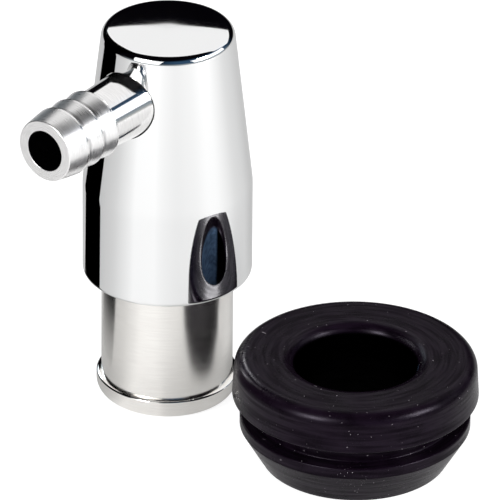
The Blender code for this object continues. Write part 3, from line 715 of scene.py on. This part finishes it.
class Turned:
    """Places on a turned piece: its point, its radius and height, and its direction round the axis."""

    def __init__(self, tree, axis):
        self.tree = tree
        self.point = vectors(tree, "SUBTRACT", add_node(tree, "ShaderNodeTexCoord").outputs["Object"], axis)
        flat = vectors(tree, "MULTIPLY", self.point, (1.0, 1.0, 0.0))
        self.radius = vectors(tree, "LENGTH", flat)
        self.height = vectors(tree, "DOT_PRODUCT", self.point, UP)
        self.direction = vectors(tree, "NORMALIZE", flat)

    def lines(self, spacing, breaks):
        """Fine lines that run round the piece, each broken up a little along its way."""
        level = maths(self.tree, "DIVIDE", maths(self.tree, "ADD", self.radius, self.height), spacing)
        around_axis = vectors(self.tree, "MULTIPLY", self.direction, (breaks, breaks, 0.0))
        along_axis = add_node(self.tree, "ShaderNodeCombineXYZ", {"Z": level}).outputs[0]
        return noise(self.tree, vectors(self.tree, "ADD", around_axis, along_axis), 1.0, LINE_DETAIL)

    def at_radius(self, radii, inside, outside):
        """One level inside the first radius and another outside the second."""
        return ramp(self.tree, self.radius, *radii, inside, outside)

    def between(self, low, high, blend):
        """A band of the height, whose edges fade over the blend."""
        rise = ramp(self.tree, self.height, low - blend, low)
        fall = ramp(self.tree, self.height, high, high + blend, 1.0, 0.0)
        return maths(self.tree, "MULTIPLY", rise, fall)


def line_bump(tree, shader, height, strength, depth):
    bump = add_node(tree, "ShaderNodeBump", {"Strength": strength, "Distance": depth, "Height": height})
    tree.links.new(bump.outputs[0], shader.inputs["Normal"])


def camera_frame():
    """The camera's right, up and forward directions before its small roll."""
    azimuth, elevation = math.radians(CAMERA_AZIMUTH), math.radians(CAMERA_ELEVATION)
    right = Vector((math.cos(azimuth), math.sin(azimuth), 0.0))
    forward = Vector(
        (
            -math.sin(azimuth) * math.cos(elevation),
            math.cos(azimuth) * math.cos(elevation),
            -math.sin(elevation),
        )
    )
    return right, right.cross(forward), forward


def bearing(azimuth, elevation):
    """A direction. Azimuth 0 is towards the camera's side of the set and 90 is to its right."""
    right, _, forward = camera_frame()
    near = -Vector((forward.x, forward.y, 0.0)).normalized()
    flat = near * math.cos(math.radians(azimuth)) + right * math.sin(math.radians(azimuth))
    height = math.sin(math.radians(elevation))
    return flat * math.cos(math.radians(elevation)) + Vector((0, 0, height))


def metal(name, colour, roughness, axis=ORIGIN, lines=0.0, anisotropy=0.0, polished=None, painted_shade=None):
    """Bare metal with turning marks and faint smears, polished in the one mask and darkened by painted shade
    in the other.
    """
    material, tree, shader = studio_material(name)
    turned = Turned(tree, axis)
    stretched = vectors(tree, "MULTIPLY", turned.point, SMEAR_STRETCH)
    smears = noise(tree, stretched, SMEAR_SCALE, SMEAR_DETAIL, NOISE_ROUGHNESS)
    marks = turned.lines(MARK_SPACING, MARK_BREAKS)
    smear_shade = swing(tree, smears, -SMEAR_SHADE, SMEAR_SHADE)
    shade = maths(tree, "ADD", smear_shade, swing(tree, marks, -lines, lines))
    share = maths(tree, "ADD", shade, 0.5, clamp=True)
    surface = mix_colour(tree, share, tinted(colour, METAL_DARK), tinted(colour, METAL_LIGHT))
    # Painted shade: the colour is darker where the mask gives it
    if painted_shade:
        surface = mix_colour(tree, painted_shade(turned), surface, opaque(PAINTED_SHADE_COLOUR))
    tree.links.new(surface, shader.inputs["Base Color"])

    uneven = maths(tree, "ADD", smears, swing(tree, marks, -MARK_ROUGHNESS, MARK_ROUGHNESS))
    spread = ramp(tree, uneven, *METAL_ROUGHNESS_SPAN, *METAL_ROUGHNESS_SWING)
    level = maths(tree, "MULTIPLY", spread, roughness)
    depth = 1.0
    if polished:
        mask = polished(turned)
        level = mix_level(tree, mask, level, swing(tree, smears, *POLISHED_ROUGHNESS))
        depth = maths(tree, "SUBTRACT", 1.0, maths(tree, "MULTIPLY", mask, POLISHED_AWAY))
    tree.links.new(level, shader.inputs["Roughness"])
    if lines:
        line_bump(tree, shader, maths(tree, "MULTIPLY", marks, depth), MARK_STRENGTH, MARK_DEPTH)

    shader.inputs["Metallic"].default_value = 1.0
    if anisotropy:
        shader.inputs["Anisotropic"].default_value = anisotropy
        shader.inputs["Anisotropic Rotation"].default_value = ANISOTROPY_TURN
        tangent = add_node(tree, "ShaderNodeTangent", direction_type="RADIAL", axis="Z")
        tree.links.new(tangent.outputs[0], shader.inputs["Tangent"])
    return material


def rubber(name, colour, roughness, axis=ORIGIN, dust_and_painted_light=False):
    """Moulded rubber with fine lines round it. The dusty kind has the grommet's bore with painted bluish
    light on it, and its dust.
    """
    material, tree, shader = studio_material(name)
    turned = Turned(tree, axis)
    lines = turned.lines(RUBBER_LINE_SPACING, RUBBER_LINE_BREAKS)
    cloud = noise(tree, turned.point, CLOUD_SCALE, CLOUD_DETAIL, NOISE_ROUGHNESS)
    line_tone = swing(tree, lines, 0.0, 1.0 - CLOUD_SHARE)
    tone = maths(tree, "ADD", line_tone, swing(tree, cloud, 0.0, CLOUD_SHARE))
    surface = mix_colour(tree, tone, tinted(colour, RUBBER_DARK), tinted(colour, RUBBER_LIGHT))
    spread = swing(tree, cloud, *[roughness * factor for factor in RUBBER_ROUGHNESS_SWING])
    if dust_and_painted_light:
        inside = turned.at_radius(BORE_RIM_RADII, 1.0, 0.0)
        # Painted light: bluish streaks on the near half of the bore, seen only mirrored in the metal
        surface = mix_colour(tree, inside, surface, bore_painted_light(tree, turned, lines))
        outside = maths(tree, "MULTIPLY_ADD", inside, -BORE_DULLNESS * RUBBER_SPECULAR, RUBBER_SPECULAR)
        sheen = maths(tree, "MULTIPLY", outside, swing(tree, lines, *RUBBER_SHEEN_SWING))
        tree.links.new(sheen, shader.inputs["Specular IOR Level"])
        dust = dust_mask(tree, turned)
        surface = mix_colour(tree, dust, surface, opaque(DUST_COLOUR))
        spread = maths(tree, "MAXIMUM", spread, maths(tree, "MULTIPLY", dust, DUST_ROUGHNESS))
    else:
        shader.inputs["Specular IOR Level"].default_value = RUBBER_SPECULAR
    shader.inputs["Specular Tint"].default_value = opaque(RUBBER_TINT)
    tree.links.new(surface, shader.inputs["Base Color"])
    tree.links.new(spread, shader.inputs["Roughness"])
    line_bump(tree, shader, lines, RUBBER_LINE_STRENGTH, RUBBER_LINE_DEPTH)
    return material


def towards(tree, direction, side, span):
    """How much a direction points to a side, from none to fully over the span."""
    return ramp(tree, vectors(tree, "DOT_PRODUCT", direction, bearing(*side)), *span)


def bore_painted_light(tree, turned, lines):
    """The bore's colour: black, with streaks of painted bluish light on the side that faces away from the
    camera.
    """
    near = towards(tree, turned.direction, PAINTED_LIGHT_SIDE, PAINTED_LIGHT_SIDE_SPAN)
    streaks = maths(tree, "MULTIPLY", near, swing(tree, lines, *PAINTED_LIGHT_STREAKS))
    return mix_colour(tree, streaks, grey(0.0), opaque(BORE_PAINTED_LIGHT_COLOUR))


def specks(tree, place, scale, size, share):
    """Small round specks, one in a part of the cells."""
    cells = add_node(tree, "ShaderNodeTexVoronoi", {"Vector": place, "Scale": scale})
    pick = add_node(tree, "ShaderNodeSeparateColor", {0: cells.outputs["Color"]})
    reach = maths(tree, "MULTIPLY_ADD", pick.outputs[1], size * SPECK_SPREAD, size * SPECK_LEAST)
    body = maths(tree, "LESS_THAN", cells.outputs["Distance"], reach)
    return maths(tree, "MULTIPLY", body, maths(tree, "LESS_THAN", pick.outputs[0], share))


def dust_mask(tree, turned):
    """Specks everywhere, a few short fibres, and one thick patch of dust low at the front."""
    fine = specks(tree, turned.point, *FINE_SPECKS)
    bend = vectors(tree, "MULTIPLY", noise_colour(tree, turned.point, FIBRE_BEND_SCALE), (FIBRE_BEND,) * 3)
    bent = vectors(tree, "ADD", turned.point, bend)
    fibres = specks(tree, vectors(tree, "MULTIPLY", bent, FIBRE_STRETCH), *FIBRES)
    patch_place = bearing(*PATCH_SIDE) * PATCH_RADIUS + Vector((0.0, 0.0, PATCH_HEIGHT))
    near_patch = ramp(tree, vectors(tree, "DISTANCE", turned.point, patch_place), *PATCH_SPAN, 1.0, 0.0)
    patch = maths(tree, "MULTIPLY", specks(tree, bent, *PATCH_SPECKS), near_patch)
    dust = maths(tree, "MAXIMUM", maths(tree, "MAXIMUM", fine, fibres), patch)
    clear = turned.at_radius(DUST_RADII, 0.0, 1.0)
    shade = ramp(tree, noise(tree, turned.point, DUST_SHADE_SCALE), *DUST_SHADE_SPAN, *DUST_SHADE_SWING)
    return maths(tree, "MULTIPLY", maths(tree, "MULTIPLY", dust, clear), shade)


def cut_head(mesh, cutter_mesh):
    """Cuts the barb's pocket and hole into the head."""
    head = bpy.data.objects.new("head_blank", mesh)
    cutter = bpy.data.objects.new("pocket", cutter_mesh)
    cutter.matrix_world = BARB_ON_HEAD
    for obj in (head, cutter):
        bpy.context.scene.collection.objects.link(obj)
    cut = head.modifiers.new("Cut", "BOOLEAN")
    cut.solver = "EXACT"
    cut.object = cutter
    cut.material_mode = "INDEX"
    bpy.context.view_layer.update()
    graph = bpy.context.evaluated_depsgraph_get()
    result = bpy.data.meshes.new_from_object(head.evaluated_get(graph))
    for obj in (head, cutter):
        bpy.data.objects.remove(obj)
    return result


def pocket_normal(face, corner):
    """Straight out of the pocket's flat floor, and towards the barb's axis from its round wall."""
    if abs(face.normal.y) > POCKET_FLOOR_FACING:
        return face.normal.copy()
    return -Vector((corner.x, 0.0, corner.z - BARB_HEIGHT)).normalized()


def nearest_share(run, place):
    """How far along a run its nearest point to a place lies, from 0 to 1."""
    start, end = run[:2]
    along = end - start
    return min(max((place - start).dot(along) / along.length_squared, 0.0), 1.0)


def nearest_run(runs, place):
    def distance(run):
        start, end = run[:2]
        return (start + (end - start) * nearest_share(run, place) - place).length

    return min(runs, key=distance)


def true_normals(mesh, profile):
    """Corner normals from the head's profile for its turned faces, and from the pocket for the rest."""
    normals = []
    for face in mesh.polygons:
        centre = face.center
        off_axis = math.hypot(centre.x, centre.z - BARB_HEIGHT)
        in_pocket = -centre.y > GALLERY_RADIUS and off_axis < POCKET_RADIUS + POCKET_MARGIN
        place = Vector((math.hypot(centre.x, centre.y), centre.z))
        run = None if in_pocket else nearest_run(profile.runs, place)
        for loop in face.loop_indices:
            corner = mesh.vertices[mesh.loops[loop].vertex_index].co
            if run is None:
                normals.append(pocket_normal(face, corner))
                continue
            start_normal, end_normal = run[2:]
            radius = math.hypot(corner.x, corner.y)
            share = nearest_share(run, Vector((radius, corner.z)))
            normal = start_normal.lerp(end_normal, share).normalized()
            if radius < MERGE:
                out = Vector((centre.x, centre.y)).normalized()
            else:
                out = Vector((corner.x, corner.y)) / radius
            normals.append((normal.x * out.x, normal.x * out.y, normal.y))
    mesh.shade_smooth()
    mesh.normals_split_custom_set(normals)


def build_head(material):
    profile = head_profile()
    blank = turned_mesh("head_blank", dense(profile))
    mesh = cut_head(blank, turned_mesh("pocket", pocket_profile(), POCKET_SIDES))
    true_normals(mesh, profile)
    add_piece("head_casting", mesh, VALVE_PLACE, "valve", "valve_head", material)


def build_camera():
    level_right, level_up, forward = camera_frame()
    roll = math.radians(CAMERA_ROLL)
    right = level_right * math.cos(roll) + level_up * math.sin(roll)
    up = level_up * math.cos(roll) - level_right * math.sin(roll)
    data = bpy.data.cameras.new("camera")
    data.lens = CAMERA_LENS
    data.sensor_width = SENSOR_WIDTH
    data.clip_end = CAMERA_CLIP_END
    camera = bpy.data.objects.new("camera", data)
    bpy.context.scene.collection.objects.link(camera)
    place = VALVE_AXIS - forward * CAMERA_DISTANCE - right * VALVE_FOOT_RIGHT - up * VALVE_FOOT_UP
    turn = Matrix((right, up, -forward)).transposed().to_4x4()
    camera.matrix_world = Matrix.Translation(place) @ turn
    bpy.context.scene.camera = camera


def softbox(name, azimuth, elevation, distance, wide, high, radiance, colour):
    """A lamp whose width and height are angles, as seen from the middle of the set."""
    width = 2 * distance * math.tan(math.radians(wide) / 2)
    height = 2 * distance * math.tan(math.radians(high) / 2)
    data = bpy.data.lights.new(name, "AREA")
    data.shape = "RECTANGLE"
    data.size = width
    data.size_y = height
    data.color = colour
    data.energy = radiance * math.pi * width * height
    lamp = bpy.data.objects.new(name, data)
    bpy.context.scene.collection.objects.link(lamp)
    target = VALVE_AXIS + Vector((0, 0, SET_MIDDLE_HEIGHT))
    lamp.location = target + bearing(azimuth, elevation) * distance
    lamp.rotation_euler = (target - lamp.location).to_track_quat("-Z", "Y").to_euler()
    lamp.visible_camera = False


def build_lamps():
    """Two front lamps with a dimmer sheet round each, a wide sheet behind, and one lamp at the rear left."""
    for lamp in LAMPS:
        softbox(*lamp)


def by_ray(tree, plain, mirrored, direct):
    """One shader for the camera, one for what the polished metal mirrors, and a plain one for the rest."""
    path = add_node(tree, "ShaderNodeLightPath").outputs
    shown = plain
    for ray, shader in (("Is Glossy Ray", mirrored), ("Is Camera Ray", direct)):
        shown = add_node(tree, "ShaderNodeMixShader", {0: path[ray], 1: shown, 2: shader}).outputs[0]
    return shown


def build_world():
    """White for the camera. Polished metal sees a dark room, navy at the right and grey low at the front."""
    world = bpy.data.worlds.new("studio")
    bpy.context.scene.world = world
    world.use_nodes = True
    tree = world.node_tree
    tree.nodes.clear()
    direction = add_node(tree, "ShaderNodeTexCoord").outputs["Generated"]
    height = vectors(tree, "DOT_PRODUCT", direction, UP)
    right = towards(tree, direction, NAVY_SIDE, NAVY_SIDE_SPAN)
    front = towards(tree, direction, HAZE_SIDE, HAZE_SIDE_SPAN)
    navy = maths(tree, "MULTIPLY", right, ramp(tree, height, *NAVY_HEIGHT_SPAN, 1.0, 0.0))
    haze = maths(tree, "MULTIPLY", front, ramp(tree, height, *HAZE_HEIGHT_SPAN, 1.0, 0.0))
    room = mix_colour(tree, navy, opaque(ROOM_BLACK), opaque(ROOM_NAVY))
    room = mix_colour(tree, haze, room, opaque(ROOM_HAZE))
    shades = [
        add_node(tree, "ShaderNodeBackground", {"Color": colour}).outputs[0]
        for colour in (grey(ROOM_LIGHT), room, grey(1.0))
    ]
    add_node(tree, "ShaderNodeOutputWorld", {0: by_ray(tree, *shades)})


def tone_ring(tree, share, tones):
    """A tone for each azimuth, given as a share of the whole round."""
    made = add_node(tree, "ShaderNodeValToRGB", {0: share})
    made.color_ramp.interpolation = "CARDINAL"
    stops = made.color_ramp.elements
    while len(stops) < len(tones):
        stops.new(0.5)
    for stop, (azimuth, tone) in zip(stops, tones):
        stop.position = azimuth / 360 + 0.5
        stop.color = grey(tone)
    return made.outputs[0]


def floor_tone(tree):
    """How light the floor is in each direction from the valve, as painted light and shade: brightest in front
    of the two front lamps, darker at most sides close to the foot.
    """
    position = add_node(tree, "ShaderNodeNewGeometry").outputs["Position"]
    place = vectors(tree, "SUBTRACT", position, VALVE_AXIS)
    to_right = vectors(tree, "DOT_PRODUCT", place, bearing(90.0, 0.0))
    to_front = vectors(tree, "DOT_PRODUCT", place, bearing(0.0, 0.0))
    share = maths(tree, "MULTIPLY_ADD", maths(tree, "ARCTAN2", to_right, to_front), 0.5 / math.pi, 0.5)
    away = ramp(tree, vectors(tree, "LENGTH", place), FOOT_NEAR, FOOT_FAR)
    return mix_colour(tree, away, tone_ring(tree, share, FOOT_TONES), tone_ring(tree, share, FLOOR_TONES))


def floor_material():
    """A pale floor. The camera and the mirrors mostly see its own light, so its shadows stay faint."""
    material, tree, shader = studio_material("floor")
    shader.inputs["Base Color"].default_value = grey(FLOOR_GREY)
    shader.inputs["Roughness"].default_value = FLOOR_ROUGHNESS
    shader.inputs["Specular IOR Level"].default_value = 0.0

    def seen(own, lit, colour):
        glow = add_node(tree, "ShaderNodeEmission", {0: colour, 1: own})
        matt = add_node(tree, "ShaderNodeBsdfDiffuse", {0: mix_colour(tree, lit, grey(0.0), colour)})
        return add_node(tree, "ShaderNodeAddShader", {0: glow.outputs[0], 1: matt.outputs[0]}).outputs[0]

    mirrored = seen(FLOOR_OWN_MIRRORED, FLOOR_LIT_MIRRORED, floor_tone(tree))
    direct = seen(FLOOR_OWN_DIRECT, FLOOR_LIT_DIRECT, grey(1.0))
    surface = by_ray(tree, shader.outputs[0], mirrored, direct)
    tree.links.new(surface, tree.nodes["Material Output"].inputs[0])
    return material


def build_floor():
    mesh = bpy.data.meshes.new("floor")
    shape = bmesh.new()
    bmesh.ops.create_circle(shape, cap_ends=True, radius=FLOOR_RADIUS, segments=FLOOR_SIDES)
    shape.to_mesh(mesh)
    shape.free()
    mesh.materials.append(floor_material())
    floor = bpy.data.objects.new("floor", mesh)
    bpy.context.scene.collection.objects.link(floor)


def flag_material():
    """Matt black with a faint glow at its foot, where the shank would otherwise mirror it as fully black."""
    material, tree, shader = studio_material("black_flag")
    shader.inputs["Base Color"].default_value = grey(0.0)
    shader.inputs["Specular IOR Level"].default_value = 0.0
    shader.inputs["Emission Color"].default_value = grey(1.0)
    height = vectors(tree, "DOT_PRODUCT", add_node(tree, "ShaderNodeTexCoord").outputs["Object"], UP)
    glow = ramp(tree, height, 0.0, FLAG_FOOT_TOP, FLAG_FOOT_TONE, 0.0)
    tree.links.new(glow, shader.inputs["Emission Strength"])
    return material


def build_flag():
    """A black flag at the left, narrow below and wide above. It shows only where the metal mirrors it."""
    left, back = bearing(-90.0, 0.0), bearing(180.0, 0.0)
    mesh = bpy.data.meshes.new("black_flag")
    shape = bmesh.new()
    levels = []
    for distance, height, near, far in FLAG_LEVELS:
        foot = VALVE_AXIS + left * distance + Vector((0, 0, height))
        levels.append([shape.verts.new(foot + back * end) for end in (near, far)])
    for lower, upper in zip(levels, levels[1:]):
        shape.faces.new((lower[0], lower[1], upper[1], upper[0]))
    shape.to_mesh(mesh)
    shape.free()
    mesh.materials.append(flag_material())
    flag = bpy.data.objects.new("black_flag", mesh)
    bpy.context.scene.collection.objects.link(flag)
    flag.visible_camera = False
    flag.visible_shadow = False
    flag.visible_diffuse = False


def spring_mesh():
    """The plunger's compression spring: closed ends, open turns between them."""
    turns = SPRING_ACTIVE_TURNS + 2
    low, high = SPRING_FOOT + SPRING_WIRE_RADIUS, SPRING_TOP - SPRING_WIRE_RADIUS
    shape = bmesh.new()
    rings = []
    for step in range(turns * SPRING_STEPS + 1):
        turn = step / SPRING_STEPS
        if turn <= 1:
            height = low + SPRING_DEAD_RISE * turn
        elif turn >= turns - 1:
            height = high - SPRING_DEAD_RISE * (turns - turn)
        else:
            open_length = high - low - 2 * SPRING_DEAD_RISE
            height = low + SPRING_DEAD_RISE + open_length * (turn - 1) / SPRING_ACTIVE_TURNS
        out = Vector((math.cos(2 * math.pi * turn), math.sin(2 * math.pi * turn), 0.0))
        middle = VALVE_AXIS + out * SPRING_RADIUS + Vector((0, 0, height))
        ring = []
        for side in range(SPRING_WIRE_SIDES):
            angle = 2 * math.pi * side / SPRING_WIRE_SIDES
            around_wire = out * math.cos(angle) + Vector((0, 0, math.sin(angle)))
            ring.append(shape.verts.new(middle + around_wire * SPRING_WIRE_RADIUS))
        rings.append(ring)
    for first, second in zip(rings, rings[1:]):
        for side in range(SPRING_WIRE_SIDES):
            after = (side + 1) % SPRING_WIRE_SIDES
            shape.faces.new((first[side], second[side], second[after], first[after]))
    shape.faces.new(rings[0])
    shape.faces.new(reversed(rings[-1]))
    bmesh.ops.recalc_face_normals(shape, faces=shape.faces)
    mesh = bpy.data.meshes.new("spring_wound")
    shape.to_mesh(mesh)
    shape.free()
    mesh.shade_smooth()
    return mesh


def build_spring(material):
    spring = bpy.data.objects.new("spring_wound", spring_mesh())
    bpy.context.scene.collection.objects.link(spring)
    spring.data.materials.append(material)
    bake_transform(spring)
    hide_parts("plunger_spring")


def finish_node(name, material):
    """Gives a solid that is kept as it is its finish."""
    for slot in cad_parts[name].material_slots:
        slot.material = material


def bright_parts_of_barb(turned):
    """The polished neck, and the worn crest of every ring."""
    neck = turned.between(BARB_SHOULDER, BARB_LAST_CREST, NECK_POLISH_BLEND)
    return maths(turned.tree, "MAXIMUM", neck, turned.at_radius(CREST_POLISH_RADII, 0.0, CREST_POLISH))


def painted_shade_of_barb(turned):
    """Painted shade: in the bore, and on the root behind every crest."""
    dark = turned.at_radius(BORE_SHADE_RADII, 1.0, 0.0)
    low_on_ring = turned.at_radius(ROOT_SHADE_RADII, ROOT_SHADE, 0.0)
    # Painted shade on the root behind each crest that has another ring after it
    for ring in range(1, BARB_RING_COUNT):
        crest = BARB_LAST_CREST + ring * BARB_RING_PITCH
        behind_crest = turned.between(crest - ROOT_SHADE_LENGTH, crest, ROOT_SHADE_BLEND)
        dark = maths(turned.tree, "MAXIMUM", dark, maths(turned.tree, "MULTIPLY", behind_crest, low_on_ring))
    return dark


def shoulder_of_collar(turned):
    outside = turned.at_radius(COLLAR_POLISH_RADII, 0.0, 1.0)
    shoulder = turned.between(COLLAR_HEIGHT - COLLAR_SHOULDER_HEIGHT, COLLAR_HEIGHT, COLLAR_POLISH_BLEND)
    return maths(turned.tree, "MULTIPLY", outside, shoulder)


bpy.context.scene.view_settings.view_transform = "Standard"
build_camera()
build_world()
build_floor()
build_flag()
build_lamps()

head_finish = metal("polished", POLISHED_ALUMINIUM, roughness=0.035)
shank_finish = metal(
    "turned_shank",
    WARM_ALUMINIUM,
    roughness=0.2,
    lines=0.22,
    anisotropy=0.5,
    polished=shoulder_of_collar,
)
barb_finish = metal(
    "turned_barb",
    TURNED_ALUMINIUM,
    roughness=0.31,
    lines=0.4,
    polished=bright_parts_of_barb,
    painted_shade=painted_shade_of_barb,
)
grommet_finish = rubber("grommet_rubber", GROMMET_BLACK, roughness=0.28, dust_and_painted_light=True)
brass = metal("brass", BRASS, roughness=0.22, axis=VALVE_AXIS, lines=0.1, anisotropy=0.3)
steel = metal("steel", STEEL, roughness=0.2, axis=VALVE_AXIS, lines=0.1, anisotropy=0.3)
drawn_steel = metal("drawn_steel", DRAWN_STEEL, roughness=0.25, axis=VALVE_AXIS)
seal = rubber("seal_rubber", SEAL_BLACK, roughness=0.4, axis=VALVE_AXIS)

build_head(head_finish)
shank = turned_mesh("shank", shank_profile())
add_piece("shank_turned", shank, VALVE_PLACE, "valve", "inlet_shank", shank_finish)
barb = turned_mesh("barb", barb_profile(), BARB_SIDES)
barb_place = VALVE_PLACE @ BARB_ON_HEAD
add_piece("barb_turned", barb, barb_place, "valve", "hose_barb", barb_finish)
grommet = turned_mesh("grommet", grommet_profile())
add_piece("grommet_moulded", grommet, GROMMET_PLACE, "grommet", "grommet", grommet_finish)
build_spring(drawn_steel)
for name, material in (
    ("metering_orifice", brass),
    ("inlet_seat", steel),
    ("plunger", brass),
    ("seat_retaining_ring", drawn_steel),
    ("shank_seal", seal),
    ("barb_seal", seal),
):
    finish_node(name, material)
